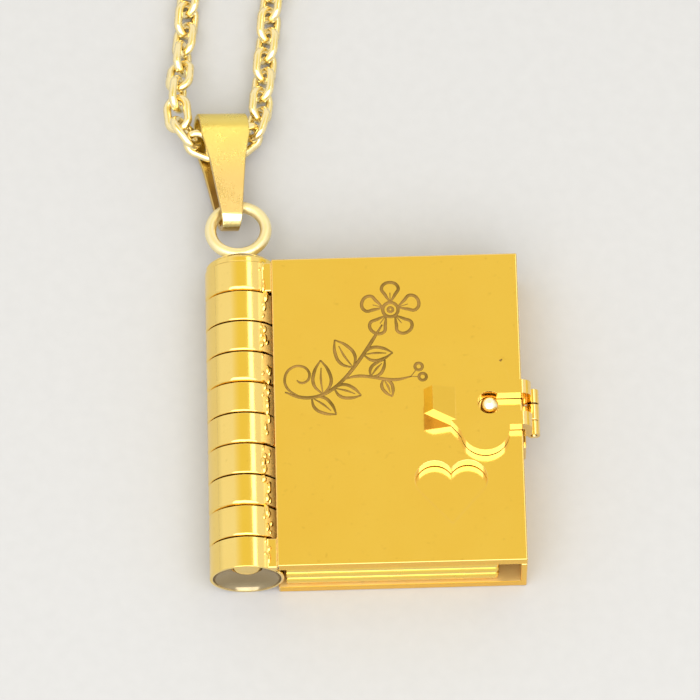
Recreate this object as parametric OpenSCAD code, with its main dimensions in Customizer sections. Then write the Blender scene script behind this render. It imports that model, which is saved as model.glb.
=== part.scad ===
// A book-shaped locket on a chain, lying shut on a surface.
// Millimetres. X runs from the spine to the fore-edge, Y up the book to the bail, Z out of the front cover.
// The origin is the centre of the back cover's rear face.

/* [Book] */
// Width of a cover from its spine side to its fore-edge
cover_w = 20; // [19.6:0.1:20.4]
// Height of a cover along the spine
cover_l = 26.7; // [26:0.1:27.4]
// Thickness of one leaf
leaf_t = 1.08; // [1:0.01:1.1]
// Gap between two leaves
leaf_gap = 0.15; // [0.13:0.01:0.17]
// Width of a page
page_w = 17.1; // [16.9:0.1:17.4]
// Rim left around a picture recess
recess_rim = 1.5; // [1.3:0.1:1.8]
// Depth of a picture recess
recess_d = 0.3; // [0.2:0.05:0.35]
// Thickness of the wall at the fore-edge
wall_t = 0.5; // [0.45:0.05:0.6]

/* [Spine] */
// Distance from the spine's axis to the covers' near edge
spine_offset = 2.5; // [2.5:0.05:2.6]
// Gap between two knuckles
knuckle_gap = 0.12; // [0.1:0.01:0.15]
// Radius of the spine pin
pin_r = 1.2; // [1:0.05:1.3]
// Radial clearance of the knuckles on the pin
pin_play = 0.05; // [0.04:0.01:0.06]
// Height of the dome on the spine's top
dome_h = 1.05; // [0.95:0.05:1.15]

/* [Heart window] */
// Width of the heart-shaped window
window_w = 5.8; // [5.6:0.1:6]
// Distance of the window's middle from the book's middle, across
window_x = 4.1; // [3.9:0.1:4.3]
// Distance of the window's lobes' centres below the book's middle
window_y = 6.25; // [6.2:0.05:6.4]

/* [Clasp] */
// Distance of the clasp's middle line below the book's middle
clasp_y = 0.25; // [0.2:0.05:0.3]
// Thickness of the heart-shaped plate
clasp_t = 1.15; // [1.05:0.05:1.2]
// Radius of a lobe of the plate
lobe_r = 1.98; // [1.9:0.02:2.02]
// Width of the strap that crosses the fore-edge
strap_w = 3.9; // [3.8:0.1:4]
// Width of the slot in the strap
slot_w = 1.56; // [1.5:0.02:1.6]
// Radius of the hole round the stud
eye_r = 0.97; // [0.95:0.01:1]
// Radius of the stud's ball
stud_r = 0.74; // [0.7:0.01:0.74]
// Angle at which the thumb tab is bent up
tab_angle = 39; // [35:1:40]

/* [Ring and bail] */
// Outer diameter of the soldered ring
ring_d = 5.5; // [5.45:0.05:5.55]
// Thickness of the ring's wire
ring_wire = 0.95; // [0.9:0.05:1]
// Lean of the ring towards the back
ring_lean = 9; // [9:0.5:10]
// Thickness of the bail's strip
bail_t = 0.45; // [0.4:0.05:0.45]
// Width of the bail at its top
bail_w_top = 4.05; // [3.95:0.05:4.1]
// Width of the bail part way up
bail_w_mid = 3; // [2.95:0.05:3.1]
// Width of the bail at its foot
bail_w_foot = 1.8; // [1.7:0.05:1.85]

/* [Chain] */
// Length of the closed chain is this many links at the pitch below
stations = 238; // [230:2:240]
// Distance between two links' middles
pitch = 1.92; // [1.9:0.01:1.93]
// Thickness of a link's wire
wire = 0.6; // [0.57:0.01:0.6]
// Width of a link
link_w = 2.4; // [2.4:0.05:2.5]
// Half the distance between the two strands above the bail
strand_half = 3.45; // [3.44:0.01:3.46]
// Length of the parallel strands above the bail
strand_l = 10; // [9:0.5:12]
// Turn from the parallel strands out to the round of the loop
flare_angle = 70; // [68:1:72]

/* [Hidden] */
$fn = 48;
gold = [0.95, 0.78, 0.32];
pale_gold = [0.97, 0.85, 0.5];
eps = 0.01;

leaf_pitch = leaf_t + leaf_gap;
book_t = 5 * leaf_t + 4 * leaf_gap;
front_z = 4 * leaf_pitch;
half_w = cover_w / 2;
half_l = cover_l / 2;

spine_x = -half_w - spine_offset;
spine_r = book_t / 2;
slots = 10;
slot_l = cover_l / slots;
page_inset = 0.15;
// A cover's bridges to its knuckles lie this deep under its outer face
bridge_sunk = 0.55;
// A page's near edge clears the knuckles of the other leaves
page_x = spine_x + spine_r + page_inset;
page_l = cover_l - 2 * page_inset;

// The snap clasp turns about a small pin outside the fore-edge
clasp_gap = 0.12;
plate_z = book_t + clasp_gap;
plate_top = plate_z + clasp_t;
hinge_out = 0.9;
hinge_x = half_w + hinge_out;
hinge_z = 4.6;
hinge_r = 0.5;
hinge_pin_r = 0.22;
strap_in = half_w + 0.15;
strap_t = 0.6;
strap_corner = 0.9;
stud_x = 7.35;
lobe_x = 6.95;
lobe_off = 2.11;
tab_x = 4.2;
tab_l = 2.75;
tab_half = 1.05;
neck_half = 1.45;
// The plate's flank between neck and lobe: from the tab's root, and from the lobe's centre
neck_flank = [0.55, 0.65];
lobe_flank = [-1.2, 1.5];
bracket_t = 0.28;
bracket_half = 2.7;
bracket_z = 1.3;
bracket_drop = 0.2;
lug_play = 0.06;
stud_neck_r = 0.5;
stud_neck_l = 0.5;
pin_proud = 0.12;

ring_r = (ring_d - ring_wire) / 2;
dome_step = 0.45;
dome_inset = 0.1;
dome_y = half_l + dome_step;
ring_sunk = 0.15;
ring_foot = dome_y + dome_h + ring_wire / 2 - ring_sunk;
ring_x = -12.7;

bail_foot = [-13.4, 18.9, 2.3];
bail_head = [-13.95, 26.1, 2.4];
bail_foot_r = 0.8;
bail_head_r = 1.42;
bail_roll = 12;
bail_mid = 0.62;
bail_shoulder = 0.4;

link_play = 0.3;
link_l = pitch + 2 * wire + link_play;
bend_r = (link_w - wire) / 2;
link_straight = link_l - link_w;
chain_z = bend_r * sin(45) + wire / 2;
turn_rise = 0.16;
lift = bail_head.z + turn_rise - chain_z;
turn_at = [-14.2, 28.2];
loop_lean = -5.8;
// The chain climbs into the bail and tilts with it, both fading out between two distances along it
climb = [3.9, 13.9];
tilt = 9.25;
tilt_fade = [6, 13];
// Left of the bail the links roll over to lie flat: by how much, about which place and how far
flat_roll = 22;
flat_at = -7.35;
flat_fade = [2.5, 6];
fastener_stations = 5;
fastener_r = 0.92;
flare_rad = flare_angle * PI / 180;
flare_c = cos(flare_angle);
half_loop = stations * pitch / 2;
// The big arc's radius follows from the length that the rest of the half loop leaves
round_r = (half_loop - PI * strand_half / 2 - strand_l + flare_rad * strand_half / (1 - flare_c))
    / (flare_rad * flare_c / (1 - flare_c) + PI / 2 + flare_rad);
flare_r = (round_r * flare_c - strand_half) / (1 - flare_c);
round_y = strand_l + (flare_r + round_r) * sin(flare_angle);
turn_s = PI * strand_half / 2;
flare_s = turn_s + strand_l;
round_s = flare_s + flare_r * flare_rad;

// A cylinder along Y from y0 to y1 about the line through x, z
module rod(x, z, r, y0, y1) {
    translate([x, y1, z]) rotate([90, 0, 0]) cylinder(r = r, h = y1 - y0);
}

// A block between two corners
module block(a, b) {
    translate(a) cube(b - a);
}

// Knuckle k, counted from the top of the spine, bridged from z0 to z1 to a leaf that starts at x
module knuckle(k, x, z0, z1) {
    y1 = half_l - (k - 1) * slot_l - knuckle_gap / 2;
    y0 = half_l - k * slot_l + knuckle_gap / 2;
    rod(spine_x, spine_r, spine_r, y0, y1);
    block([spine_x, y0, z0], [x + eps, y1, z1]);
}

// The leaf's knuckles, bored for the spine pin
module spine_knuckles(list, x, z0, z1) {
    difference() {
        for (k = list) knuckle(k, x, z0, z1);
        rod(spine_x, spine_r, pin_r + pin_play, -half_l - 1, half_l + 1);
    }
}

// An outline that mirrors one flank, given as points away from the middle line
module both_flanks(flank) {
    last = len(flank) - 1;
    polygon([for (side = [-1, 1]) for (k = side < 0 ? [0 : last] : [last : -1 : 0])
        [flank[k].x, side * flank[k].y]]);
}

// A shallow place for a picture, sunk into a leaf from x0 to x1 at height z
module recess(x0, x1, l, z) {
    block([x0 + recess_rim, -l / 2 + recess_rim, z - recess_d],
        [x1 - recess_rim, l / 2 - recess_rim, z + recess_d]);
}

module page(n, list) {
    z0 = (4 - n) * leaf_pitch;
    z1 = z0 + leaf_t;
    color(gold) union() {
        difference() {
            block([page_x, -page_l / 2, z0], [page_x + page_w, page_l / 2, z1]);
            recess(page_x, page_x + page_w, page_l, z0);
            // The first page is plain where the window shows it
            if (n > 1) recess(page_x, page_x + page_w, page_l, z1);
        }
        spine_knuckles(list, page_x, z0, z1);
    }
}

module page_1() { page(1, [2, 6]); }
module page_2() { page(2, [3, 7]); }
module page_3() { page(3, [4, 8]); }

// The bracket on the fore-edge wall with the middle knuckle of the clasp's hinge
module clasp_bracket() {
    lug = slot_w / 2 - lug_play;
    plate_end = hinge_z - hinge_r - bracket_drop;
    translate([0, -clasp_y, 0]) difference() {
        union() {
            block([half_w - eps, -bracket_half, bracket_z], [half_w + bracket_t, bracket_half, plate_end]);
            block([half_w - eps, -lug, plate_end - eps], [hinge_x, lug, hinge_z]);
            rod(hinge_x, hinge_z, hinge_r, -lug, lug);
        }
        rod(hinge_x, hinge_z, hinge_pin_r + pin_play, -bracket_half, bracket_half);
    }
}

module back_cover() {
    color(gold) union() {
        difference() {
            block([-half_w, -half_l, 0], [half_w, half_l, leaf_t]);
            recess(page_x, page_x + page_w, page_l, leaf_t);
        }
        block([half_w - wall_t, -half_l, 0], [half_w, half_l, front_z - leaf_gap]);
        spine_knuckles([5, 9], -half_w, bridge_sunk, leaf_t);
        clasp_bracket();
    }
}

// Outline of the heart-shaped window: two round lobes over a point
module window_outline() {
    r = 0.27 * window_w;
    off = window_w / 2 - r;
    tip = 0.66 * window_w;
    side_angle = 90 - atan2(tip, off) + asin(r / norm([off, tip]));
    x = off + r * cos(side_angle);
    y = -r * sin(side_angle);
    for (side = [-1, 1]) translate([side * off, 0]) circle(r = r);
    polygon([[-off, 0], [-x, y], [0, -tip], [x, y], [off, 0]]);
}

module front_cover() {
    color(gold) union() {
        difference() {
            block([-half_w, -half_l, front_z], [half_w, half_l, book_t]);
            translate([window_x, -window_y, front_z - 1]) linear_extrude(leaf_t + 2) window_outline();
        }
        spine_knuckles([1, 10], -half_w, front_z, book_t - bridge_sunk);
        translate([stud_x, -clasp_y, book_t - eps]) cylinder(r = stud_neck_r, h = stud_neck_l);
        translate([stud_x, -clasp_y, plate_top - stud_r]) sphere(r = stud_r);
    }
}

// The spine's pin with the dome on its top and the ring soldered to it
module spine_pin() {
    color(pale_gold) union() {
        cap_r = spine_r - dome_inset;
        dome_r = (cap_r * cap_r + dome_h * dome_h) / (2 * dome_h);
        rod(spine_x, spine_r, pin_r, -half_l, dome_y);
        intersection() {
            translate([spine_x, dome_y + dome_h - dome_r, spine_r]) sphere(r = dome_r);
            rod(spine_x, spine_r, cap_r, half_l + knuckle_gap / 2, dome_y + dome_h);
        }
        translate([ring_x, ring_foot, spine_r]) rotate([-ring_lean, 0, 0]) translate([0, ring_r, 0])
            rotate_extrude() translate([ring_r, 0]) rotate(90) circle(r = ring_wire / 2, $fn = 24);
    }
}

// Outline of the clasp's plate: two lobes, the neck towards the tab and the strap to the fore-edge
module plate_outline() {
    for (side = [-1, 1]) translate([lobe_x, side * lobe_off]) circle(r = lobe_r);
    root = [tab_x, neck_half];
    lobe = [lobe_x, lobe_off];
    flank = [root, root + neck_flank, lobe + lobe_flank, lobe];
    both_flanks(flank);
    translate([lobe_x, -strap_w / 2]) square([half_w - lobe_x, strap_w]);
}

// Side view of the strap: over the cover, round the fore-edge and down to the hinge
module strap_profile() {
    out = strap_in + strap_t;
    start = half_w - 1;
    difference() {
        union() {
            translate([start, hinge_z]) square([out - start - strap_corner, plate_top - hinge_z]);
            translate([start, hinge_z]) square([out - start, plate_top - hinge_z - strap_corner]);
            translate([out - strap_corner, plate_top - strap_corner]) circle(r = strap_corner);
        }
        translate([start - 1, hinge_z - 1]) square([strap_in - start + 1, plate_z - hinge_z + 1]);
    }
}

module clasp_latch() {
    color(gold) translate([0, -clasp_y, 0]) difference() {
        union() {
            translate([0, 0, plate_z]) linear_extrude(clasp_t) plate_outline();
            translate([tab_x, 0, plate_z]) rotate([0, tab_angle, 0]) linear_extrude(clasp_t)
                polygon([[0, neck_half], [-tab_l, tab_half], [-tab_l, -tab_half], [0, -neck_half]]);
            translate([0, strap_w / 2, 0]) rotate([90, 0, 0]) linear_extrude(strap_w) strap_profile();
            rod(hinge_x, hinge_z, hinge_r, -strap_w / 2, strap_w / 2);
        }
        translate([stud_x, 0, plate_z - 1]) cylinder(r = eye_r, h = clasp_t + 2);
        block([stud_x, -slot_w / 2, hinge_z - 1], [hinge_x + 1, slot_w / 2, plate_top + 1]);
        rod(hinge_x, hinge_z, hinge_pin_r + pin_play, -strap_w, strap_w);
    }
}

module clasp_pin() {
    reach = strap_w / 2 + pin_proud;
    color(pale_gold) rod(hinge_x, hinge_z, hinge_pin_r, -clasp_y - reach, -clasp_y + reach);
}

// Side view of the bail, grown by g: a foot round the ring's wire and a wider head round the chain
module bail_side(l, g) {
    r0 = bail_foot_r + g;
    r1 = bail_head_r + g;
    lean = acos((r0 - r1) / l);
    circle(r = r0);
    translate([l, 0]) circle(r = r1);
    polygon([for (side = [-1, 1]) for (end = side < 0 ? [0, 1] : [1, 0])
        [end * l + (end == 0 ? r0 : r1) * cos(lean), side * (end == 0 ? r0 : r1) * sin(lean)]]);
}

module bail() {
    run = bail_head - bail_foot;
    l = norm(run);
    heading = atan2(run.y, run.x);
    rise = asin(run.z / l);
    mid_l = bail_mid * l;
    taper_l = l - bail_shoulder;
    reach = 3;
    tail = -2;
    tail_half = (bail_w_foot + (bail_w_mid - bail_w_foot) * tail / mid_l) / 2;
    flank = [[tail, tail_half], [mid_l, bail_w_mid / 2],
        [taper_l, bail_w_top / 2], [l + reach, bail_w_top / 2]];
    color(pale_gold) translate(bail_foot) rotate([0, -rise, heading]) rotate([bail_roll, 0, 0])
    intersection() {
        rotate([90, 0, 0]) translate([0, 0, -reach]) linear_extrude(2 * reach) difference() {
            bail_side(l, bail_t);
            bail_side(l, 0);
        }
        translate([0, 0, -reach]) linear_extrude(2 * reach) both_flanks(flank);
    }
}

// Place across and along the strands of a point at s along the loop's right half
function half_point(s) =
    s < turn_s ? let (t = s / strand_half * 180 / PI) [strand_half * sin(t), -strand_half * cos(t)] :
    s < flare_s ? [strand_half, s - turn_s] :
    s < round_s ? let (t = (s - flare_s) / flare_r * 180 / PI)
        [strand_half + flare_r * (1 - cos(t)), strand_l + flare_r * sin(t)] :
    let (t = (s - round_s) / round_r * 180 / PI - flare_angle)
        [round_r * cos(t), round_y + round_r * sin(t)];

// A smooth rise from 0 at the distance far to 1 at the distance near
function bump(d, near, far) =
    d <= near ? 1 : d >= far ? 0 : (1 + cos(180 * (d - near) / (far - near))) / 2;

// Point at s along the whole loop, where s = 0 is the turn through the bail
function loop_point(s) =
    let (q = half_point(abs(s)), a = sign(s) * q.x, b = q.y)
    [turn_at.x + a * cos(loop_lean) - b * sin(loop_lean),
        turn_at.y + a * sin(loop_lean) + b * cos(loop_lean),
        chain_z + lift * bump(abs(s), climb[0], climb[1])
            - a * tan(tilt) * bump(abs(s), tilt_fade[0], tilt_fade[1])];

function station_s(i) = (i - stations / 2) * pitch;

// Turn of a link about its own length: half way over, nearly upright and flat left of the bail
function link_roll(i, s) =
    90 * (i % 2) + 45 - flat_roll * bump(abs(s - flat_at), flat_fade[0], flat_fade[1]);

module link() {
    for (side = [0, 180]) rotate([0, 0, side]) {
        translate([link_straight / 2, 0, 0]) rotate([0, 0, -90])
            rotate_extrude(angle = 180, $fn = 24) translate([bend_r, 0]) circle(r = wire / 2, $fn = 24);
        translate([-link_straight / 2, bend_r, 0]) rotate([0, 90, 0])
            cylinder(r = wire / 2, h = link_straight, $fn = 24);
    }
}

// Link i of the loop, between its two stations
module placed_link(i) {
    s = station_s(i);
    a = loop_point(s);
    b = loop_point(s + pitch);
    run = b - a;
    translate((a + b) / 2) rotate([0, -asin(run.z / norm(run)), atan2(run.y, run.x)])
        rotate([link_roll(i, s + pitch / 2), 0, 0]) link();
}

// The chain's two halves meet in the bail
module chain_left() {
    color(pale_gold) for (i = [ceil(fastener_stations / 2) : stations / 2 - 1]) placed_link(i);
}

module chain_right() {
    color(pale_gold) for (i = [stations / 2 : stations - ceil(fastener_stations / 2) - 1]) placed_link(i);
}

// A plain barrel between the chain's two ends, with an eye at each
module chain_fastener() {
    first = loop_point(-half_loop + fastener_stations / 2 * pitch - pitch / 2);
    last = loop_point(half_loop - fastener_stations / 2 * pitch + pitch / 2);
    run = last - first;
    color(pale_gold) union() {
        translate(first) rotate([0, 90, atan2(run.y, run.x)]) cylinder(r = fastener_r, h = norm(run));
        placed_link(floor(fastener_stations / 2));
        placed_link(stations - ceil(fastener_stations / 2));
    }
}

back_cover();
page_3();
page_2();
page_1();
front_cover();
spine_pin();
clasp_latch();
clasp_pin();
bail();
chain_left();
chain_right();
chain_fastener();
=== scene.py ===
# The finish and the fine shapes of a book locket on a chain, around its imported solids
import math
import random

import bmesh
import bpy
import numpy as np
from mathutils import Matrix, Vector


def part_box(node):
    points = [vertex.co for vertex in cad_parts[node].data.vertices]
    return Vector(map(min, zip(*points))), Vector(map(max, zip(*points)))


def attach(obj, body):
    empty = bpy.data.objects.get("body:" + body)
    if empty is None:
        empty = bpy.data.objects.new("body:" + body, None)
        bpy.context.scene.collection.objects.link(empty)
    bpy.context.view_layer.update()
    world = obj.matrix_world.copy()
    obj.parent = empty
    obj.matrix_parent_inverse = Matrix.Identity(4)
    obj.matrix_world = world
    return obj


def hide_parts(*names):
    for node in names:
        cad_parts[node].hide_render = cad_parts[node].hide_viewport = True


bl_info = {
    "name": "Book locket on a chain",
    "version": (1, 0, 0),
    "blender": (4, 5, 0),
    "location": "3D View > Sidebar > Locket",
    "description": "Dresses a gilt book locket: rounded leaves, solder, sprig, bail, chain and stage",
    "category": "Object",
}

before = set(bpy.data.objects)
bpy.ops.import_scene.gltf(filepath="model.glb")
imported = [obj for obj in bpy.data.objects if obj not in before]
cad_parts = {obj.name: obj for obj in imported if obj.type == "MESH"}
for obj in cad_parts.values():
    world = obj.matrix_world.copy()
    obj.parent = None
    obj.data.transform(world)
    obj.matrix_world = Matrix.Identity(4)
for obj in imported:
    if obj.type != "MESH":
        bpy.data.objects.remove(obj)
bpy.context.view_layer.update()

# Shapes are worked on in millimetres and brought to metres when they are done
MM = 0.001


def low_of(name):
    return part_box(name)[0] / MM


def high_of(name):
    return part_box(name)[1] / MM


COVER_TOP = high_of("page_1").z
HALF_L = high_of("front_cover").y
HALF_W = high_of("front_cover").x
SPINE_R = COVER_TOP / 2
SPINE_X = low_of("page_1").x + SPINE_R
PAGE_X0 = SPINE_X + SPINE_R
PAGE_X1 = high_of("page_1").x
PAGE_HALF_L = high_of("page_1").y
KNUCKLES = 10
KNUCKLE_L = 2 * HALF_L / KNUCKLES
# How far each seam of the spine is worn open, from the top, as a share of the widest
SEAM_WEAR = (1, 0.45, 0.6, 1, 0.5, 0.7, 0.45, 1, 0.6)
# Thickness of the back cover's leaf
LEAF_T = 1.08
STUD_TOP = high_of("front_cover").z
# The upper corner of the bail's box, near which the links show best, and the bail's lower end
BAIL_CORNER = high_of("bail")
BAIL_FOOT = low_of("bail").y
# A place within this distance of a line or a face counts as lying on it
NEAR = 0.1
# The spine's own finish ends this far before the leaves begin
SPINE_MARGIN = 0.35
# Points that lie closer than this are merged
MERGE = 0.0005
# Scale of each noise in the metal: clouds, smears, specks of wear and the grain of the polish
CLOUD_SCALE = 170
SMEAR_SCALE = 520
SPECK_SCALE = 2100
GRAIN_SCALE = 5200
# Red, green and blue of a stain, as shares of the clean colour's
WARM = (0.97, 0.88, 0.72)
WORN = (0.8, 0.72, 0.6)
GREYED = (1.9, 1.8, 2.6)
# The sky's warm cards: direction, and degrees off it at which a card ends and at which it is full
WARM_CARDS = (((0, 0.383, 0.924), 32, 9), ((0.904, 0.383, 0.192), 16, 8))


class LocketFinish(bpy.types.PropertyGroup):
    """Colours and polish of the gilt metal"""

    cover: bpy.props.FloatVectorProperty(
        name="Cover", description="Colour of the covers, the clasp and the first page",
        default=(0.93, 0.68, 0.25), size=3, subtype="COLOR", min=0, max=1)
    spine: bpy.props.FloatVectorProperty(
        name="Spine", description="Colour of the spine's knuckles, its dome and the solder beads",
        default=(0.93, 0.69, 0.21), size=3, subtype="COLOR", min=0, max=1)
    page: bpy.props.FloatVectorProperty(
        name="Pages", description="Colour of the lower pages and of the first page's ends",
        default=(0.95, 0.69, 0.13), size=3, subtype="COLOR", min=0, max=1)
    # Partly painted shade: the faces inside the gap get a darker colour for the shade there, with a rougher,
    # less metallic finish.
    inside: bpy.props.FloatVectorProperty(
        name="Inside", description="Colour of the dull gilt inside the back cover",
        default=(0.8, 0.55, 0.2), size=3, subtype="COLOR", min=0, max=1)
    pale: bpy.props.FloatVectorProperty(
        name="Pale gilt", description="Colour of the chain and of the clasp's rivet",
        default=(0.98, 0.84, 0.47), size=3, subtype="COLOR", min=0, max=1)
    satin: bpy.props.FloatVectorProperty(
        name="Satin gilt", description="Colour of the bail's lower part",
        default=(0.67, 0.48, 0.18), size=3, subtype="COLOR", min=0, max=1)
    bright: bpy.props.FloatVectorProperty(
        name="Bright gilt", description="Colour of the bail's top",
        default=(0.86, 0.7, 0.17), size=3, subtype="COLOR", min=0, max=1)
    solder: bpy.props.FloatVectorProperty(
        name="Solder", description="Colour of the stained metal where the leaves are soldered on",
        default=(0.98, 0.66, 0.2), size=3, subtype="COLOR", min=0, max=1)
    ring: bpy.props.FloatVectorProperty(
        name="Ring", description="Colour of the matt ring",
        default=(0.98, 0.87, 0.52), size=3, subtype="COLOR", min=0, max=1)
    # Painted shade: the cut edges and the tab's slant get this deeper, darker orange in place of the shade
    # that lies on them.
    edge: bpy.props.FloatVectorProperty(
        name="Cut edges", description="Colour of the covers' cut edges and of the thumb tab's slant",
        default=(0.95, 0.57, 0.04), size=3, subtype="COLOR", min=0, max=1)
    # Painted reflection: the foot's dark grey-brown stands in for the dark surroundings that its dish
    # mirrors.
    foot_reflection: bpy.props.FloatVectorProperty(
        name="Painted foot reflection", description="Colour of the reflection-painted foot of the spine",
        default=(0.4, 0.32, 0.19), size=3, subtype="COLOR", min=0, max=1)
    # Painted highlight: this white on the stud's top and the bail's nose stands in for their glints.
    white: bpy.props.FloatVectorProperty(
        name="Painted white highlight", description="Colour of the stud's top and the bail's nose, both rubbed",
        default=(0.98, 0.95, 0.72), size=3, subtype="COLOR", min=0, max=1)
    line: bpy.props.FloatVectorProperty(
        name="Engraved line", description="Colour of the engraved lines",
        default=(0.2, 0.12, 0.02), size=3, subtype="COLOR", min=0, max=1)
    polish: bpy.props.FloatProperty(
        name="Roughness", description="Roughness of the polished gilt",
        default=0.1, min=0, max=1, subtype="FACTOR")
    matt: bpy.props.FloatProperty(
        name="Satin roughness", description="Roughness of the dull finishes, such as the ring's",
        default=0.3, min=0, max=1, subtype="FACTOR")


class LocketEdges(bpy.types.PropertyGroup):
    """Rounding of each piece's edges, and the sizes of the dish and the solder beads"""

    leaf: bpy.props.FloatProperty(
        name="Leaves", description="Rounding of the covers' and knuckles' edges",
        default=0.00013, min=0.00002, max=0.0003, unit="LENGTH")
    seam: bpy.props.FloatProperty(
        name="Seams", description="Widest rounding of a knuckle's edge at a seam of the spine",
        default=0.00036, min=0.0001, max=0.0005, unit="LENGTH")
    page: bpy.props.FloatProperty(
        name="Pages", description="Rounding of the pages' outer edges",
        default=0.0004, min=0.00002, max=0.0005, unit="LENGTH")
    clasp: bpy.props.FloatProperty(
        name="Clasp", description="Rounding of the heart clasp's edges",
        default=0.00016, min=0.00002, max=0.0003, unit="LENGTH")
    bail: bpy.props.FloatProperty(
        name="Bail", description="Rounding of the bail's edges",
        default=0.0001, min=0.00002, max=0.0002, unit="LENGTH")
    dish: bpy.props.FloatProperty(
        name="Dish", description="Depth to which the spine's foot is dished",
        default=0.0011, min=0, max=0.0015, unit="LENGTH")
    dish_rim: bpy.props.FloatProperty(
        name="Dish rim", description="Width of the flat rim round the dish",
        default=0.00025, min=0.0001, max=0.001, unit="LENGTH")
    solder: bpy.props.FloatProperty(
        name="Solder bead", description="Radius of a solder bead beside the spine",
        default=0.0004, min=0.0001, max=0.0006, unit="LENGTH")


class LocketChain(bpy.types.PropertyGroup):
    """The chain's links"""

    wire: bpy.props.FloatProperty(
        name="Wire", description="Thickness of a link's wire",
        default=0.00069, min=0.0005, max=0.0007, unit="LENGTH")
    bend: bpy.props.FloatProperty(
        name="Bend", description="Radius of the middle line of a link's round ends",
        default=0.0009, min=0.0008, max=0.001, unit="LENGTH")
    straight: bpy.props.FloatProperty(
        name="Straight side", description="Length of a link's straight sides",
        default=0.00102, min=0, max=0.003, unit="LENGTH")
    near: bpy.props.FloatProperty(
        name="Fine links", description="Distance from the bail within which the links are finer",
        default=0.016, min=0, max=0.1, unit="LENGTH")


class LocketEngraving(bpy.types.PropertyGroup):
    """The sprig that is engraved on the front cover"""

    width: bpy.props.FloatProperty(
        name="Line width", description="Width of an engraved line",
        default=0.00027, min=0.0001, max=0.0005, unit="LENGTH")
    depth: bpy.props.FloatProperty(
        name="Line depth", description="Half the thickness of an engraved line's filling",
        default=0.000016, min=0.000005, max=0.00005, unit="LENGTH")
    petals: bpy.props.IntProperty(
        name="Petals", description="Number of petals of the flower", default=5, min=4, max=8)


class LocketStage(bpy.types.PropertyGroup):
    """Camera, floor and light"""

    aim: bpy.props.FloatVectorProperty(
        name="Aim", description="Point in the middle of the picture",
        default=(-0.003763, 0.005147, 0.006), size=3, unit="LENGTH")
    distance: bpy.props.FloatProperty(
        name="Distance", description="Distance of the camera from the aim",
        default=0.5, min=0.1, max=2, unit="LENGTH")
    tilt: bpy.props.FloatProperty(
        name="Tilt", description="Lean of the view from straight above",
        default=math.radians(22.5), min=0, max=1.4, subtype="ANGLE")
    turn: bpy.props.FloatProperty(
        name="Turn", description="Turn of the camera about its own view",
        default=math.radians(-1.5), min=-0.3, max=0.3, subtype="ANGLE")
    lens: bpy.props.FloatProperty(
        name="Lens", description="Focal length in millimetres on a 36 mm sensor",
        default=317.6, min=50, max=500)
    floor: bpy.props.FloatVectorProperty(
        name="Floor", description="Colour of the floor",
        default=(0.50, 0.50, 0.51), size=3, subtype="COLOR", min=0, max=1)
    sky: bpy.props.FloatProperty(
        name="Sky", description="Brightness of the sky", default=1.0, min=0, max=4)
    card: bpy.props.FloatVectorProperty(
        name="Warm card", description="Colour of the warm part of the sky that the cover mirrors",
        default=(0.935, 0.809, 0.268), size=3, subtype="COLOR", min=0, max=1)


GROUPS = {"locket_finish": LocketFinish, "locket_edges": LocketEdges, "locket_chain": LocketChain,
          "locket_engraving": LocketEngraving, "locket_stage": LocketStage}


def settings(group):
    return getattr(bpy.context.scene, group)


def select_only(*objects):
    bpy.ops.object.select_all(action="DESELECT")
    for o in objects:
        o.hide_set(False)
        o.select_set(True)
    bpy.context.view_layer.objects.active = objects[0]


def grow(obj, factor):
    """Scales a mesh about the origin, without touching its object."""
    obj.data.transform(Matrix.Scale(factor, 4))
    obj.data.update()


def node(tree, kind, values=None, **inputs):
    """A new node with its properties set and its sockets set or linked."""
    made = tree.nodes.new(kind)
    for name, value in (values or {}).items():
        setattr(made, name, value)
    for name, value in inputs.items():
        socket = made.inputs[name.replace("_", " ")]
        if isinstance(value, bpy.types.NodeSocket):
            tree.links.new(value, socket)
        else:
            socket.default_value = value
    return made


def span(tree, value, low, high, start=0.3, end=0.7):
    """Carries a value's middle stretch over to a range."""
    made = node(tree, "ShaderNodeMapRange", Value=value)
    for socket, number in zip(("From Min", "From Max", "To Min", "To Max"), (start, end, low, high)):
        made.inputs[socket].default_value = number
    return made.outputs["Result"]


def blend(tree, factor, a, b):
    """Mixes two colours, each given as numbers or as a socket."""
    mix = node(tree, "ShaderNodeMix", {"data_type": "RGBA"})
    tree.links.new(factor, mix.inputs["Factor"])
    for name, colour in (("A", a), ("B", b)):
        if isinstance(colour, bpy.types.NodeSocket):
            tree.links.new(colour, mix.inputs[name])
        else:
            mix.inputs[name].default_value = (*colour, 1)
    return mix.outputs["Result"]


def new_material(name):
    material = bpy.data.materials.new(name)
    material.use_nodes = True
    tree = material.node_tree
    return material, tree, tree.nodes["Principled BSDF"], node(tree, "ShaderNodeTexCoord").outputs["Object"]


def tinted(colour, shares):
    return tuple(channel * share for channel, share in zip(colour, shares))


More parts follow.
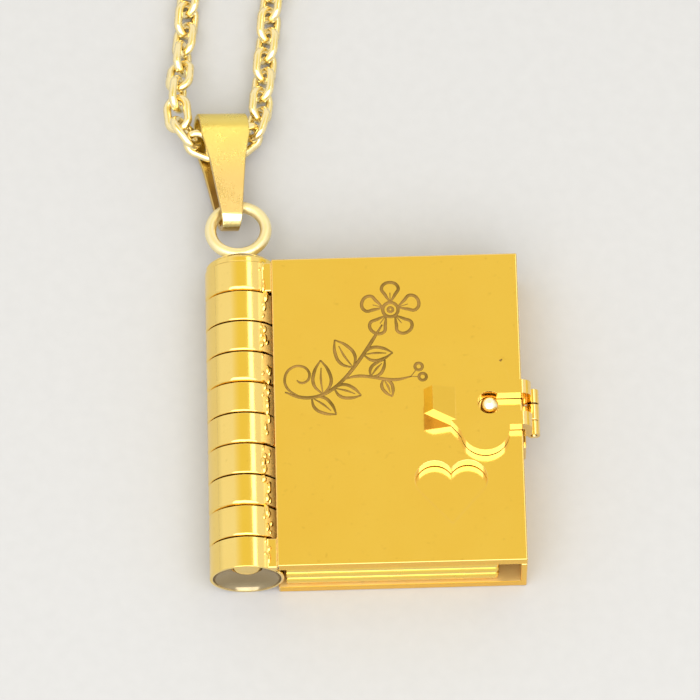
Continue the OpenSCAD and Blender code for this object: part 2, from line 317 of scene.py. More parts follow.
def gilt(name, colour, roughness, cloud=0.05, grain=0.006, drawn=(1, 1, 1), relief=0.05, metallic=1,
         far=None):
    """Gilt metal: slow clouds of warmer tint, fine grain in the polish and specks of wear.

    Far gives the colour that it turns to between two places along Y, in millimetres."""
    material, tree, shader, place = new_material(name)
    first = colour
    if far:
        far_colour, start, end = far
        along_y = node(tree, "ShaderNodeSeparateXYZ", Vector=place).outputs["Y"]
        first = blend(tree, span(tree, along_y, 0, 1, start * MM, end * MM), colour, far_colour)
    slow = node(tree, "ShaderNodeTexNoise", Vector=place, Scale=CLOUD_SCALE, Detail=3)
    clouded = blend(tree, span(tree, slow.outputs["Fac"], 0, cloud * 6), first, tinted(colour, WARM))
    specks = node(tree, "ShaderNodeTexNoise", Vector=place, Scale=SPECK_SCALE, Detail=2)
    rubbed = span(tree, specks.outputs["Fac"], 0, cloud * 7, 0.66, 0.8)
    tint = blend(tree, rubbed, clouded, tinted(colour, WORN))
    tree.links.new(tint, shader.inputs["Base Color"])
    along = node(tree, "ShaderNodeMapping", Vector=place, Scale=drawn)
    fine = node(tree, "ShaderNodeTexNoise", Vector=along.outputs["Vector"], Scale=GRAIN_SCALE, Detail=4)
    smear = node(tree, "ShaderNodeTexNoise", Vector=place, Scale=SMEAR_SCALE, Detail=4)
    rough = node(tree, "ShaderNodeMath", {"operation": "ADD"})
    tree.links.new(span(tree, smear.outputs["Fac"], roughness * 0.7, roughness * 1.35), rough.inputs[0])
    tree.links.new(span(tree, fine.outputs["Fac"], -grain, grain), rough.inputs[1])
    tree.links.new(rough.outputs["Value"], shader.inputs["Roughness"])
    bump = node(tree, "ShaderNodeBump", Height=fine.outputs["Fac"], Strength=relief, Distance=0.00003)
    wave = node(tree, "ShaderNodeBump", Height=smear.outputs["Fac"], Strength=relief, Distance=0.00006)
    tree.links.new(bump.outputs["Normal"], wave.inputs["Normal"])
    tree.links.new(wave.outputs["Normal"], shader.inputs["Normal"])
    shader.inputs["Metallic"].default_value = metallic
    return material


def painted_by_height(name, low_colour, high_colour, low, high, rough):
    """Metal whose finish changes in patches between two heights above the floor, in millimetres. It carries
    the stud's painted white highlight and the foot's painted dark reflection.
    """
    material, tree, shader, place = new_material(name)
    patch = node(tree, "ShaderNodeTexNoise", Vector=place, Scale=1100, Detail=4)
    height = node(tree, "ShaderNodeSeparateXYZ", Vector=place).outputs["Z"]
    uneven = node(tree, "ShaderNodeMath", {"operation": "MULTIPLY_ADD"})
    tree.links.new(span(tree, patch.outputs["Fac"], -0.5, 0.5), uneven.inputs[0])
    uneven.inputs[1].default_value = (high - low) * MM
    tree.links.new(height, uneven.inputs[2])
    share = span(tree, uneven.outputs["Value"], 0, 1, low * MM, high * MM)
    dull = tuple(c * 0.8 for c in low_colour)
    mottled = blend(tree, span(tree, patch.outputs["Fac"], 0, 1), low_colour, dull)
    tree.links.new(blend(tree, share, mottled, high_colour), shader.inputs["Base Color"])
    tree.links.new(span(tree, patch.outputs["Fac"], rough * 0.7, rough * 1.3), shader.inputs["Roughness"])
    shader.inputs["Metallic"].default_value = 1
    return material


def dark_line(name, colour):
    """The dark filling of an engraved line, browner and greyer in patches."""
    material, tree, shader, place = new_material(name)
    patch = node(tree, "ShaderNodeTexNoise", Vector=place, Scale=700, Detail=5)
    mottled = blend(tree, span(tree, patch.outputs["Fac"], 0, 1), colour, tinted(colour, GREYED))
    tree.links.new(mottled, shader.inputs["Base Color"])
    tree.links.new(span(tree, patch.outputs["Fac"], 0.35, 0.6), shader.inputs["Roughness"])
    shader.inputs["Metallic"].default_value = 0.75
    return material


def floor_paper(name, colour):
    """Pale matt paper."""
    material, tree, shader, place = new_material(name)
    fibre = node(tree, "ShaderNodeTexNoise", Vector=place, Scale=900, Detail=6)
    shade = tuple(c * 0.97 for c in colour)
    flecked = blend(tree, span(tree, fibre.outputs["Fac"], 0, 1), colour, shade)
    tree.links.new(flecked, shader.inputs["Base Color"])
    bump = node(tree, "ShaderNodeBump", Height=fibre.outputs["Fac"], Strength=0.05, Distance=0.0002)
    tree.links.new(bump.outputs["Normal"], shader.inputs["Normal"])
    shader.inputs["Roughness"].default_value = 0.9
    return material


MATERIALS = {}


def wear(obj, *names):
    obj.data.materials.clear()
    for name in names:
        obj.data.materials.append(MATERIALS[name])


def finish_part(piece, name, chosen):
    """Gives a piece's chosen faces a further finish. Chosen reads a face's middle and normal."""
    piece.data.materials.append(MATERIALS[name])
    slot = len(piece.data.materials) - 1
    for face in piece.data.polygons:
        if chosen(face.center, face.normal):
            face.material_index = slot


def copy_in_mm(node_name, piece_name, flat=True):
    """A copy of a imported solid, merged, scaled to millimetres and with its flat faces whole."""
    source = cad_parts[node_name]
    piece = bpy.data.objects.new(piece_name, source.data.copy())
    bpy.context.scene.collection.objects.link(piece)
    grow(piece, 1 / MM)
    select_only(piece)
    bpy.ops.object.mode_set(mode="EDIT")
    bpy.ops.mesh.select_all(action="SELECT")
    bpy.ops.mesh.customdata_custom_splitnormals_clear()
    bpy.ops.mesh.remove_doubles(threshold=MERGE)
    if flat:
        bpy.ops.mesh.dissolve_limited(angle_limit=math.radians(0.5))
    bpy.ops.object.mode_set(mode="OBJECT")
    return piece


def round_edges(piece, width, width_at=None, sharp=30, segments=3):
    """Rounds every edge that is sharper than an angle in degrees. Width_at gives an edge its own width."""
    select_only(piece)
    bpy.ops.object.shade_smooth()
    shape = bmesh.new()
    shape.from_mesh(piece.data)
    weight = shape.edges.layers.float.new("bevel_weight_edge")
    for edge in shape.edges:
        if edge.is_manifold and edge.calc_face_angle() > math.radians(sharp):
            middle = (edge.verts[0].co + edge.verts[1].co) / 2
            edge[weight] = width_at(middle) / width if width_at else 1
    shape.to_mesh(piece.data)
    shape.free()
    bevel = piece.modifiers.new("round", "BEVEL")
    bevel.width = width / MM
    bevel.segments = segments
    bevel.limit_method = "WEIGHT"
    bevel.use_clamp_overlap = width_at is None
    bevel.miter_outer = "MITER_ARC"
    bevel.harden_normals = True
    bpy.ops.object.modifier_apply(modifier=bevel.name)


def seat(piece, body, slot, *replaced):
    """Brings a finished piece to metres and lets it ride on its body."""
    grow(piece, MM)
    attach(piece, body)
    if replaced:
        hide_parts(*replaced)


def reach_from_axis(place):
    return math.hypot(place.x - SPINE_X, place.z - SPINE_R)


def on_spine(middle, normal=None):
    return reach_from_axis(middle) < SPINE_R + NEAR / 2 and middle.x < PAGE_X0 - SPINE_MARGIN


def stained(middle, normal):
    """The knuckles' flank towards the leaves, where the solder ran."""
    return on_spine(middle) and normal.x > 0.5


def beside_spine(middle, normal):
    """The covers' own edge beside the spine, where the solder ran too."""
    # The solder ran this far, in millimetres, to either side of where the leaves begin
    run = 0.6
    return normal.x < -0.8 and abs(middle.x - PAGE_X0) < run and reach_from_axis(middle) > SPINE_R


def on_outer_edge(middle, normal):
    """The covers' cut edges at head, foot and fore-edge, painted a deeper, darker orange as shade."""
    at_end = abs(middle.y) > HALF_L - NEAR / 2 or middle.x > HALF_W - NEAR / 2
    return at_end and PAGE_X0 < middle.x < HALF_W + NEAR / 2 and abs(normal.z) < 0.5


def seam_width(middle):
    """Rounding of an edge: a knuckle's foot is worn more or less, seam by seam, and its head little."""
    edges = settings("locket_edges")
    # The crisp edges inside a leaf start this far from the spine, in millimetres
    root = 1
    seam = round((HALF_L - middle.y) / KNUCKLE_L)
    below_seam = HALF_L - seam * KNUCKLE_L - middle.y
    if seam == KNUCKLES and reach_from_axis(middle) < SPINE_R - NEAR:
        return edges.leaf / 4
    if PAGE_X0 + root < middle.x < HALF_W - NEAR and abs(middle.y) < HALF_L - NEAR:
        return edges.leaf / 3
    if not on_spine(middle) or abs(below_seam) > NEAR or reach_from_axis(middle) < SPINE_R - 2 * NEAR:
        return edges.leaf
    if 0 < seam < KNUCKLES and below_seam < 0:
        return edges.seam * SEAM_WEAR[seam - 1]
    return edges.leaf / 2


def at_foot(middle, normal):
    """The dish in the spine's foot, painted a dark grey-brown that stands in for the reflection of dark
    surroundings.
    """
    edges = settings("locket_edges")
    inside = reach_from_axis(middle) < SPINE_R - edges.dish_rim / MM + 0.02
    return inside and middle.y < -HALF_L + (edges.dish + edges.dish_rim) / MM and normal.y < -0.15


def dish_foot(piece):
    """Hollows the spine's foot."""
    edges = settings("locket_edges")
    reach = SPINE_R - edges.dish_rim / MM
    # The flat end is cut into triangles first, because a single face with a round hole in it draws badly
    shape = bmesh.new()
    shape.from_mesh(piece.data)
    end = [f for f in shape.faces if f.normal.y < -0.99 and f.calc_center_median().y < -HALF_L + NEAR]
    bmesh.ops.triangulate(shape, faces=end)
    shape.to_mesh(piece.data)
    shape.free()
    bpy.ops.object.select_all(action="DESELECT")
    bpy.ops.mesh.primitive_uv_sphere_add(segments=48, ring_count=32, radius=1)
    cutter = bpy.context.object
    flat = Matrix.Diagonal((reach, edges.dish / MM, reach, 1))
    place = Matrix.Translation((SPINE_X, -HALF_L, SPINE_R))
    cutter.data.transform(place @ flat @ Matrix.Rotation(math.pi / 2, 4, "X"))
    cut = piece.modifiers.new("dish", "BOOLEAN")
    cut.object = cutter
    cut.solver = "EXACT"
    select_only(piece)
    bpy.ops.object.modifier_apply(modifier=cut.name)
    bpy.data.objects.remove(cutter)


class LOCKET_OT_finishes(bpy.types.Operator):
    """Makes the gilt finishes"""

    bl_idname = "locket.finishes"
    bl_label = "Finishes"
    # Height above the bail's lower end at which its satin gilt begins to brighten, in millimetres
    bail_dull = 4
    # Heights below the stud's top between which its gilt turns to a painted white highlight, in millimetres
    stud_gilt = 0.4
    stud_white = 0.2
    # Heights between which the foot's painted dark reflection turns from mottled to even, in millimetres
    foot_low = 1
    foot_high = 2

    def execute(self, context):
        f = settings("locket_finish")
        MATERIALS["polished"] = gilt("polished gilt", f.cover, f.polish)
        MATERIALS["spine"] = gilt("spine gilt", f.spine, f.polish * 1.2, drawn=(1, 0.05, 1))
        MATERIALS["page"] = gilt("page gilt", f.page, f.polish * 2.2, cloud=0.04, relief=0.08)
        # Darker gilt inside the gap: painted shade, with a rougher, less metallic finish
        MATERIALS["inside"] = gilt("gap shade gilt", f.inside, f.matt * 1.5, cloud=0.08, metallic=0.6)
        MATERIALS["solder"] = gilt(
            "solder", f.solder, f.matt, cloud=0.12, grain=0.05, relief=0.8, metallic=0.25)
        # The cut edges' deeper orange is painted shade
        MATERIALS["edge"] = gilt("cut edge shade", f.edge, f.polish * 2)
        # Painted white highlight for the bail's nose
        MATERIALS["white"] = gilt("painted white highlight", f.white, f.matt)
        bail_top = (f.bright, BAIL_FOOT + self.bail_dull, BAIL_CORNER.y)
        MATERIALS["satin"] = gilt("satin gilt", f.satin, f.matt, grain=0.05, relief=0.4, far=bail_top)
        MATERIALS["pale"] = gilt("pale gilt", f.pale, f.polish * 1.8, cloud=0.06)
        MATERIALS["ring"] = gilt("ring gilt", f.ring, f.matt * 1.3, cloud=0.08, grain=0.04, relief=0.5)
        # The spine's foot: dark grey-brown, a painted reflection of dark surroundings, mottled low down
        MATERIALS["foot_reflection"] = painted_by_height(
            "reflection-painted foot", f.foot_reflection, f.foot_reflection, self.foot_low, self.foot_high, f.polish * 2)
        # The stud's top turns to a painted white highlight
        MATERIALS["stud"] = painted_by_height(
            "stud with painted highlight", f.cover, f.white, STUD_TOP - self.stud_gilt, STUD_TOP - self.stud_white, f.matt)
        MATERIALS["line"] = dark_line("engraved line", f.line)
        MATERIALS["paper"] = floor_paper("pale paper", settings("locket_stage").floor)
        return {"FINISHED"}


class LOCKET_OT_leaves(bpy.types.Operator):
    """Rounds the covers and the pages"""

    bl_idname = "locket.leaves"
    bl_label = "Covers and pages"
    # A page's outer edges start this far from the spine, in millimetres
    root = 0.3
    # Width of the stretch at head and foot where the first page is as dull as the others, in millimetres
    page_end = 0.5

    def execute(self, context):
        edges = settings("locket_edges")
        front = copy_in_mm("front_cover", "front_leaf")
        dish_foot(front)
        round_edges(front, edges.seam, seam_width)
        wear(front, "polished")
        finish_part(front, "spine", on_spine)
        finish_part(front, "solder", stained)
        # The dish in the foot gets its painted dark reflection
        finish_part(front, "foot_reflection", at_foot)
        # The stud gets its painted white highlight
        finish_part(front, "stud", lambda middle, normal: middle.z > COVER_TOP + NEAR)
        finish_part(front, "edge", on_outer_edge)
        finish_part(front, "solder", beside_spine)
        seat(front, "front", "gilt_cover", "front_cover")
        rear = copy_in_mm("back_cover", "rear_leaf")
        round_edges(rear, edges.seam, seam_width)
        wear(rear, "polished")
        # The faces inside the gap get the darker gilt of painted shade
        finish_part(rear, "inside", self.faces_the_gap)
        finish_part(rear, "spine", on_spine)
        finish_part(rear, "solder", stained)
        finish_part(rear, "edge", on_outer_edge)
        finish_part(rear, "solder", beside_spine)
        seat(rear, "back", "gilt_cover", "back_cover")
        for n in (1, 2, 3):
            self.page(n, edges)
        return {"FINISHED"}

    def faces_the_gap(self, middle, normal):
        """The inner faces of the back cover and of the wall at the fore-edge, which get the darker gilt of
        painted shade.
        """
        on_cover = abs(middle.z - LEAF_T) < 0.01 and normal.z > 0.9
        on_wall = HALF_W - 1 < middle.x < HALF_W and normal.x < -0.9
        return on_cover or on_wall

    def page(self, n, edges):
        """One inner leaf, with full outer edges and crisp ones round its recesses and knuckles."""
        piece = copy_in_mm(f"page_{n}", f"inner_leaf_{n}")

        def width_at(middle):
            outer_end = abs(middle.y) > PAGE_HALF_L - NEAR or middle.x > PAGE_X1 - NEAR
            if outer_end and middle.x > PAGE_X0 + self.root:
                return edges.page
            return min(seam_width(middle), edges.page)

        round_edges(piece, edges.page, width_at, segments=5)
        wear(piece, "polished" if n == 1 else "page")
        if n == 1:
            finish_part(piece, "page", lambda middle, normal: abs(middle.y) > PAGE_HALF_L - self.page_end)
        finish_part(piece, "spine", on_spine)
        finish_part(piece, "solder", stained)
        seat(piece, "back", "gilt_page", f"page_{n}")


class LOCKET_OT_spine(bpy.types.Operator):
    """Rounds the spine's pin, dome and ring"""

    bl_idname = "locket.spine"
    bl_label = "Spine pin and ring"
    # The dome's foot comes this much nearer to the first knuckle, in millimetres, so its seam hardly shows
    closer = 0.08
    # Height above the dome's foot up to which it wears the spine's gilt and not the ring's, in millimetres
    gilt_h = 0.85
    # What reaches further from the axis than this share of the spine's radius is dome and not pin
    dome_share = 0.7
    # Rise of the pin's lower end into the dish, as a share of the dish's depth
    pin_rise = 0.7

    def execute(self, context):
        edges = settings("locket_edges")
        piece = copy_in_mm("spine_pin", "spine_rod_and_ring")
        points = piece.data.vertices
        pin_reach = SPINE_R * self.dome_share
        dome_foot = min(point.co.y for point in points if reach_from_axis(point.co) > pin_reach)
        for point in points:
            if point.co.y < -HALF_L + NEAR / 10:
                point.co.y += edges.dish / MM * self.pin_rise
            elif abs(point.co.y - dome_foot) < NEAR / 10:
                point.co.y -= self.closer

        def width_at(middle):
            if middle.y < -HALF_L / 2:
                return edges.page
            return edges.leaf / 4 if middle.y < dome_foot else edges.leaf

        round_edges(piece, edges.page, width_at)
        wear(piece, "ring")
        gilt_top = dome_foot + self.gilt_h
        finish_part(piece, "spine", lambda middle, normal: on_spine(middle) and middle.y < gilt_top)
        seat(piece, "back", "gilt_chain", "spine_pin")
        return {"FINISHED"}


class LOCKET_OT_solder(bpy.types.Operator):
    """Sets small uneven solder beads where the knuckles meet their leaves"""

    bl_idname = "locket.solder"
    bl_label = "Solder beads"
    seed = 11
    # Places along a knuckle, as shares of its length, and the chance that a bead is left out there
    drops = (0.12, 0.24, 0.36, 0.48, 0.6, 0.72, 0.84)
    left_out = 0.2
    # Degrees above the leaves' plane between which a bead lies
    turns = (43, 60)
    # Depth of a bead's middle below the knuckle's surface, in millimetres
    sunk = 0.08
    # Least and most that a bead's place and its radius are multiplied by
    shift = (0.85, 1.1)
    shrink = (0.45, 1)
    # Least and most that its points are moved in or out by, and that it is drawn out along the spine
    dents = (0.86, 1.14)
    drawn_out = (0.9, 1.7)

    def execute(self, context):
        draw = random.Random(self.seed)
        radius = settings("locket_edges").solder / MM
        reach = SPINE_R - self.sunk
        beads = {"front": [], "back": []}
        for k in range(KNUCKLES):
            body = "front" if k in (0, KNUCKLES - 1) else "back"
            top = HALF_L - k * KNUCKLE_L
            for drop in self.drops:
                if draw.random() < self.left_out:
                    continue
                turn = math.radians(draw.uniform(*self.turns))
                down = KNUCKLE_L * draw.uniform(*self.shift) * drop
                place = (SPINE_X + reach * math.cos(turn), top - down, SPINE_R + reach * math.sin(turn))
                beads[body].append(self.bead(draw, place, radius * draw.uniform(*self.shrink)))
        for body, made in beads.items():
            select_only(*made)
            bpy.ops.object.join()
            piece = bpy.context.object
            piece.name = f"solder_beads_{body}"
            bpy.ops.object.shade_smooth()
            wear(piece, "spine")
            seat(piece, body, "gilt_cover")
        return {"FINISHED"}

    def bead(self, draw, place, radius):
        bpy.ops.object.select_all(action="DESELECT")
        bpy.ops.mesh.primitive_ico_sphere_add(subdivisions=2, radius=radius)
        bead = bpy.context.object
        for point in bead.data.vertices:
            point.co *= draw.uniform(*self.dents)
        stretch = Matrix.Diagonal((0.8, draw.uniform(*self.drawn_out), 0.7, 1))
        bead.data.transform(Matrix.Translation(place) @ Matrix.Rotation(-math.pi / 4, 4, "Y") @ stretch)
        return bead


class LOCKET_OT_clasp(bpy.types.Operator):
    """Rounds the heart clasp and its pin"""

    bl_idname = "locket.clasp"
    bl_label = "Heart clasp"

    def execute(self, context):
        edges = settings("locket_edges")
        latch = copy_in_mm("clasp_latch", "heart_clasp")
        round_edges(latch, edges.clasp)
        wear(latch, "polished")
        finish_part(latch, "edge", self.slants_to_spine)
        seat(latch, "clasp", "gilt_clasp", "clasp_latch")
        rivet = copy_in_mm("clasp_pin", "clasp_rivet")
        round_edges(rivet, edges.clasp / 2)
        wear(rivet, "pale")
        seat(rivet, "back", "gilt_clasp", "clasp_pin")
        return {"FINISHED"}

    def slants_to_spine(self, middle, normal):
        """The raised faces that slant towards the spine, mostly the thumb tab's, painted the deeper, darker
        orange as shade.
        """
        return normal.x < -0.7 and normal.z > 0.5


class LOCKET_OT_bail(bpy.types.Operator):
    """Rounds the folded bail"""

    bl_idname = "locket.bail"
    bl_label = "Bail"
    # Length of the bail's lower end that gets the painted white highlight, in millimetres
    nose = 1

    def execute(self, context):
        piece = copy_in_mm("bail", "folded_bail")
        round_edges(piece, settings("locket_edges").bail)
        wear(piece, "satin")
        # The bail's nose gets its painted white highlight
        finish_part(piece, "white", self.on_nose)
        seat(piece, "back", "gilt_bail", "bail")
        return {"FINISHED"}

    def on_nose(self, middle, normal):
        """The upper side of the bail's lower end, painted white as a highlight."""
        return middle.y < BAIL_FOOT + self.nose and normal.y < -0.25 and normal.z > 0.3


def loose_solids(mesh):
    """Groups a merged mesh's points by the solid that they belong to."""
    ends = np.empty(len(mesh.edges) * 2, dtype=np.int64)
    mesh.edges.foreach_get("vertices", ends)
    a, b = ends.reshape(-1, 2).T
    points = np.empty(len(mesh.vertices) * 3)
    mesh.vertices.foreach_get("co", points)
    label = np.arange(len(mesh.vertices))
    while True:
        least = np.minimum(label[a], label[b])
        lower = label.copy()
        np.minimum.at(lower, a, least)
        np.minimum.at(lower, b, least)
        lower = lower[lower]
        if (lower == label).all():
            break
        label = lower
    return [points.reshape(-1, 3)[label == first] for first in np.unique(label)]


def link_place(points):
    """The turn and middle of a packed link: its length along X, its width along Y."""
    middle = points.mean(axis=0)
    axes = np.linalg.eigh(np.cov((points - middle).T))[1]
    along, across = Vector(axes[:, 2]), Vector(axes[:, 1])
    turn = Matrix((along, across, along.cross(across))).transposed()
    return Matrix.Translation(middle) @ turn.to_4x4()


class LOCKET_OT_chain(bpy.types.Operator):
    """Makes the chain's links and rounds its fastener"""

    bl_idname = "locket.chain"
    bl_label = "Chain"
    # Steps round a link and sides of its wire, for the links near the bail and for the others
    fine_faces = (26, 10)
    plain_faces = (14, 6)

    def execute(self, context):
        c = settings("locket_chain")
        fine = self.link(c, *self.fine_faces)
        plain = self.link(c, *self.plain_faces)
        for side in ("left", "right"):
            solid = copy_in_mm(f"chain_{side}", "packed_links", flat=False)
            links = []
            for points in loose_solids(solid.data):
                place = link_place(points)
                near = (place.translation - BAIL_CORNER).length < c.near / MM
                link = bpy.data.objects.new("link", (fine if near else plain).data.copy())
                link.data.transform(place)
                context.scene.collection.objects.link(link)
                links.append(link)
            bpy.data.objects.remove(solid)
            select_only(*links)
            bpy.ops.object.join()
            piece = context.object
            piece.name = f"cable_links_{side}"
            bpy.ops.object.shade_smooth()
            wear(piece, "pale")
            seat(piece, "back", "gilt_chain", f"chain_{side}")
        for template in (fine, plain):
            bpy.data.objects.remove(template)
        barrel = copy_in_mm("chain_fastener", "chain_barrel")
        round_edges(barrel, settings("locket_edges").leaf)
        wear(barrel, "pale")
        seat(barrel, "back", "gilt_chain", "chain_fastener")
        return {"FINISHED"}

    def link(self, c, steps, sides):
        """A ring of round wire whose halves are drawn apart by the straight sides."""
        bpy.ops.object.select_all(action="DESELECT")
        bpy.ops.mesh.primitive_torus_add(
            major_radius=c.bend / MM, minor_radius=c.wire / 2 / MM,
            major_segments=steps, minor_segments=sides, rotation=(0, 0, math.pi / steps))
        link = bpy.context.object
        bpy.ops.object.transform_apply(rotation=True)
        for point in link.data.vertices:
            point.co.x += math.copysign(c.straight / 2 / MM, point.co.x)
        return link


def bow(a, b, c, d, t):
    """Point at t on the curve that leaves a towards b and reaches d from c."""
    a, b, c, d = (Vector(v) for v in (a, b, c, d))
    s = 1 - t
    return s ** 3 * a + 3 * s * s * t * b + 3 * s * t * t * c + t ** 3 * d


def knots_along(curve, count):
    """Evenly stepped points of a curve that is given by its start, two handles and end."""
    return [bow(*curve, k / (count - 1)) for k in range(count)]


def polar(middle, angle, reach):
    return Vector(middle) + Vector((math.cos(angle), math.sin(angle))) * reach


def stroke(points, width, closed=False, thin_ends=True):
    """One engraved line through the points, thinner towards its ends."""
    bpy.ops.object.select_all(action="DESELECT")
    bpy.ops.curve.primitive_bezier_curve_add()
    line = bpy.context.object
    spline = line.data.splines[0]
    spline.bezier_points.add(len(points) - 2)
    for k, (knot, at) in enumerate(zip(spline.bezier_points, points)):
        knot.co = (*at, 0)
        knot.handle_left_type = knot.handle_right_type = "AUTO"
        at_end = thin_ends and not closed and k in (0, len(points) - 1)
        knot.radius = 0.45 if at_end else 1
    spline.use_cyclic_u = closed
    spline.resolution_u = 6
    line.data.bevel_depth = width / 2
    line.data.bevel_resolution = 1
    line.data.use_fill_caps = True
    bpy.ops.object.convert(target="MESH")
    return bpy.context.object


def leaf_strokes(foot, angle, length, width):
    """A pointed leaf: two flanks and a midrib."""
    tip = polar(foot, angle, length)
    made = []
    for side in (-1, 1):
        low = polar(polar(foot, angle, length * 0.3), angle + side * math.pi / 2, length * 0.23)
        high = polar(polar(foot, angle, length * 0.68), angle + side * math.pi / 2, length * 0.19)
        made.append(stroke([foot, low, high, tip], width))
    rib = polar(polar(foot, angle, length * 0.45), angle + math.pi / 2, length * 0.03)
    made.append(stroke([foot, rib, polar(foot, angle, length * 0.78)], width * 0.7))
    return made


def petal_strokes(middle, angle, inner, length, width):
    """A round petal that starts on the flower's eye."""
    foot = polar(middle, angle, inner)
    ring = [polar(foot, angle + math.radians(lean), length * reach)
            for lean, reach in ((30, 0.45), (27, 0.85), (0, 1.02), (-27, 0.85), (-30, 0.45))]
    return [stroke([foot, *ring, foot], width), stroke([foot, polar(foot, angle, length * 0.5)], width * 0.7)]


def circle_points(middle, radius, count=8):
    return [polar(middle, math.tau * k / count, radius) for k in range(count)]


class LOCKET_OT_engraving(bpy.types.Operator):
    """Engraves a flowering sprig on the front cover"""

    bl_idname = "locket.engraving"
    bl_label = "Engraved sprig"
    # Places and lengths are in millimetres from the middle of the cover
    stem_curve = ((-9.1, 1.6), (-5.6, -0.3), (-3.6, 3.2), (-1.1, 7.3))
    stem_knots = 10
    # The branch leaves the stem at one of its knots
    branch_from = 5
    branch_curve = ((-2.4, 3.4), (-0.9, 1.9), (1.1, 2.7))
    branch_knots = 6
    # Each leaf's knot, its lean in degrees and its length
    stem_leaves = ((2, -52, 2.5), (3, 62, 3.0), (4, -60, 2.3), (6, 66, 2.9), (7, -55, 2.4))
    branch_leaves = ((2, 62, 1.9), (3, -62, 1.7))
    flower_place = (-0.4, 8.6)
    eye_r = 0.62
    pip_r = 0.2
    petal_l = 1.75
    # Turn of the first petal, as a share of the step between two petals
    first_petal = 0.25
    berry_places = ((1.75, 3.55), (2.05, 2.65))
    berry_r = 0.3
    # The tendril turns by a step in degrees at each knot, and its reach shrinks to a share
    tendril_place = (-7.8, 2.9)
    tendril_knots = 10
    tendril_start = -95
    tendril_step = -45
    tendril_reach = 1.7
    tendril_share = 0.86
    # A nick in the gilt beside the clasp: its corner, and its two ends from there
    nick_place = (8.2, 3.8)
    nick_ends = ((-0.3, 0.12), (0.32, 0.2))

    def execute(self, context):
        e = settings("locket_engraving")
        width = e.width / MM
        stem = knots_along(self.stem_curve, self.stem_knots)
        branch = knots_along((stem[self.branch_from], *self.branch_curve), self.branch_knots)
        lines = [stroke(stem, width * 1.1), stroke(branch, width)]
        for twig, leaves in ((stem, self.stem_leaves), (branch, self.branch_leaves)):
            for k, lean, length in leaves:
                heading = math.atan2(*reversed(twig[k + 1] - twig[k]))
                lines += leaf_strokes(twig[k], heading + math.radians(lean), length, width)
        flower = Vector(self.flower_place)
        lines.append(stroke(circle_points(flower, self.eye_r), width, closed=True))
        lines.append(stroke(circle_points(flower, self.pip_r, 6), width * 0.8, closed=True))
        for k in range(e.petals):
            turn = math.tau * (k + self.first_petal) / e.petals
            lines += petal_strokes(flower, turn, self.eye_r, self.petal_l, width)
        for berry in map(Vector, self.berry_places):
            heading = math.atan2(*reversed(berry - branch[-1]))
            lines.append(stroke([branch[-1], polar(berry, heading + math.pi, self.berry_r)], width * 0.7))
            lines.append(stroke(circle_points(berry, self.berry_r), width * 0.9, closed=True))
        tendril = [polar(self.tendril_place, math.radians(self.tendril_start + self.tendril_step * k),
                         self.tendril_reach * self.tendril_share ** k) for k in range(self.tendril_knots)]
        lines.append(stroke(tendril, width * 0.8))
        nick = Vector(self.nick_place)
        first, last = (nick + Vector(end) for end in self.nick_ends)
        lines.append(stroke([first, nick, last], width * 0.9))
        select_only(*lines)
        bpy.ops.object.join()
        piece = context.object
        piece.name = "engraved_sprig"
        bpy.ops.object.mode_set(mode="EDIT")
        bpy.ops.mesh.select_all(action="SELECT")
        bpy.ops.mesh.remove_doubles(threshold=MERGE)
        bpy.ops.object.mode_set(mode="OBJECT")
        flatten = Matrix.Diagonal((1, 1, e.depth / MM / (width / 2), 1))
        piece.data.transform(Matrix.Translation((0, 0, COVER_TOP)) @ flatten)
        bpy.ops.object.shade_smooth()
        wear(piece, "line")
        seat(piece, "front", "gilt_cover")
        return {"FINISHED"}


def area_light(name, direction, distance, size, radiance):
    """A white soft box in the given direction from the aim, of a given brightness."""
    aim = Vector(settings("locket_stage").aim)
    bpy.ops.object.light_add(type="AREA", location=aim + Vector(direction).normalized() * distance)
    light = bpy.context.object
    light.name = name
    light.data.shape = "RECTANGLE"
    light.data.size, light.data.size_y = size
    light.data.energy = radiance * math.pi * size[0] * size[1]
    light.rotation_euler = (aim - light.location).to_track_quat("-Z", "Y").to_euler()


def studio_world(strength, card):
    """A soft pale sky, dimmer low down, with warm cards where the cover and the tab mirror them."""
    world = bpy.data.worlds.new("studio")
    bpy.context.scene.world = world
    world.use_nodes = True
    tree = world.node_tree
    direction = node(tree, "ShaderNodeTexCoord").outputs["Generated"]
    axes = node(tree, "ShaderNodeSeparateXYZ", Vector=direction)
    light = node(tree, "ShaderNodeMath", {"operation": "MULTIPLY"})
    tree.links.new(span(tree, axes.outputs["Z"], 0.8, 1, -0.05, 0.25), light.inputs[0])
    light.inputs[1].default_value = strength
    tree.links.new(light.outputs["Value"], tree.nodes["Background"].inputs["Strength"])
    either = node(tree, "ShaderNodeMath", {"operation": "MAXIMUM"})
    for k, (toward, *angles) in enumerate(WARM_CARDS):
        nearness = node(tree, "ShaderNodeVectorMath", {"operation": "DOT_PRODUCT"})
        tree.links.new(direction, nearness.inputs[0])
        nearness.inputs[1].default_value = toward
        edge, core = (math.cos(math.radians(angle)) for angle in angles)
        tree.links.new(span(tree, nearness.outputs["Value"], 0, 1, edge, core), either.inputs[k])
    tint = blend(tree, either.outputs["Value"], (1, 0.99, 0.975), card)
    tree.links.new(tint, tree.nodes["Background"].inputs["Color"])


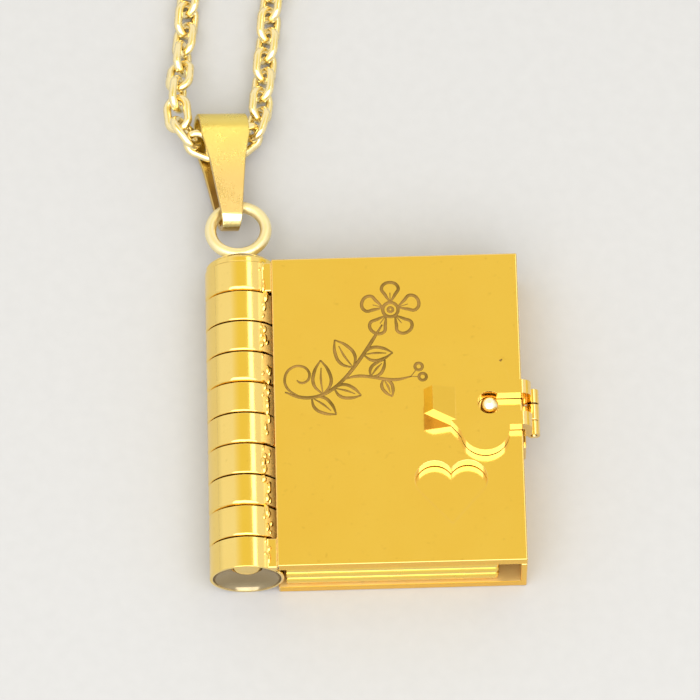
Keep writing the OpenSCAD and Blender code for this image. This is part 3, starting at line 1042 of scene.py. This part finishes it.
class LOCKET_OT_stage(bpy.types.Operator):
    """Makes the camera, the floor and the light"""

    bl_idname = "locket.stage"
    bl_label = "Stage"
    # Name, direction from the aim, distance and size in metres, and brightness of each soft box
    soft_boxes = (("front_box", (0, -0.46, 0.89), 0.65, (0.9, 0.8), 2.2),
                  ("spine_strip", (0.4, 0.38, 0.83), 0.6, (0.14, 0.1), 2.0))
    floor_size = 2
    # The floor lies this little below the locket, in metres
    floor_drop = 0.00001

    def execute(self, context):
        s = settings("locket_stage")
        context.scene.view_settings.view_transform = "Standard"
        back = Vector((0, -math.sin(s.tilt), math.cos(s.tilt)))
        bpy.ops.object.camera_add(location=Vector(s.aim) + back * s.distance)
        camera = context.object
        camera.rotation_euler = (Matrix.Rotation(s.tilt, 3, "X") @ Matrix.Rotation(s.turn, 3, "Z")).to_euler()
        camera.data.sensor_width = 36
        camera.data.lens = s.lens
        camera.data.clip_start = 0.01
        context.scene.camera = camera
        bpy.ops.object.select_all(action="DESELECT")
        bpy.ops.mesh.primitive_plane_add(size=self.floor_size, location=(0, 0, -self.floor_drop))
        floor = context.object
        floor.name = "floor"
        wear(floor, "paper")
        for soft_box in self.soft_boxes:
            area_light(*soft_box)
        studio_world(s.sky, s.card)
        return {"FINISHED"}


OPERATORS = [LOCKET_OT_finishes, LOCKET_OT_leaves, LOCKET_OT_spine, LOCKET_OT_solder, LOCKET_OT_clasp,
             LOCKET_OT_bail, LOCKET_OT_chain, LOCKET_OT_engraving, LOCKET_OT_stage]


class LOCKET_PT_panel(bpy.types.Panel):
    """The locket's steps and sizes"""

    bl_label = "Locket"
    bl_idname = "LOCKET_PT_panel"
    bl_space_type = "VIEW_3D"
    bl_region_type = "UI"
    bl_category = "Locket"

    def draw(self, context):
        for operator in OPERATORS:
            self.layout.operator(operator.bl_idname)
        for group in GROUPS:
            box = self.layout.box()
            for prop in GROUPS[group].__annotations__:
                box.prop(settings(group), prop)


def register():
    for group, kind in GROUPS.items():
        bpy.utils.register_class(kind)
        setattr(bpy.types.Scene, group, bpy.props.PointerProperty(type=kind))
    for kind in (*OPERATORS, LOCKET_PT_panel):
        bpy.utils.register_class(kind)


def unregister():
    for kind in reversed((*OPERATORS, LOCKET_PT_panel)):
        bpy.utils.unregister_class(kind)
    for group, kind in GROUPS.items():
        delattr(bpy.types.Scene, group)
        bpy.utils.unregister_class(kind)


def main():
    register()
    for operator in OPERATORS:
        group, step = operator.bl_idname.split(".")
        getattr(getattr(bpy.ops, group), step)()


if __name__ == "__main__":
    main()
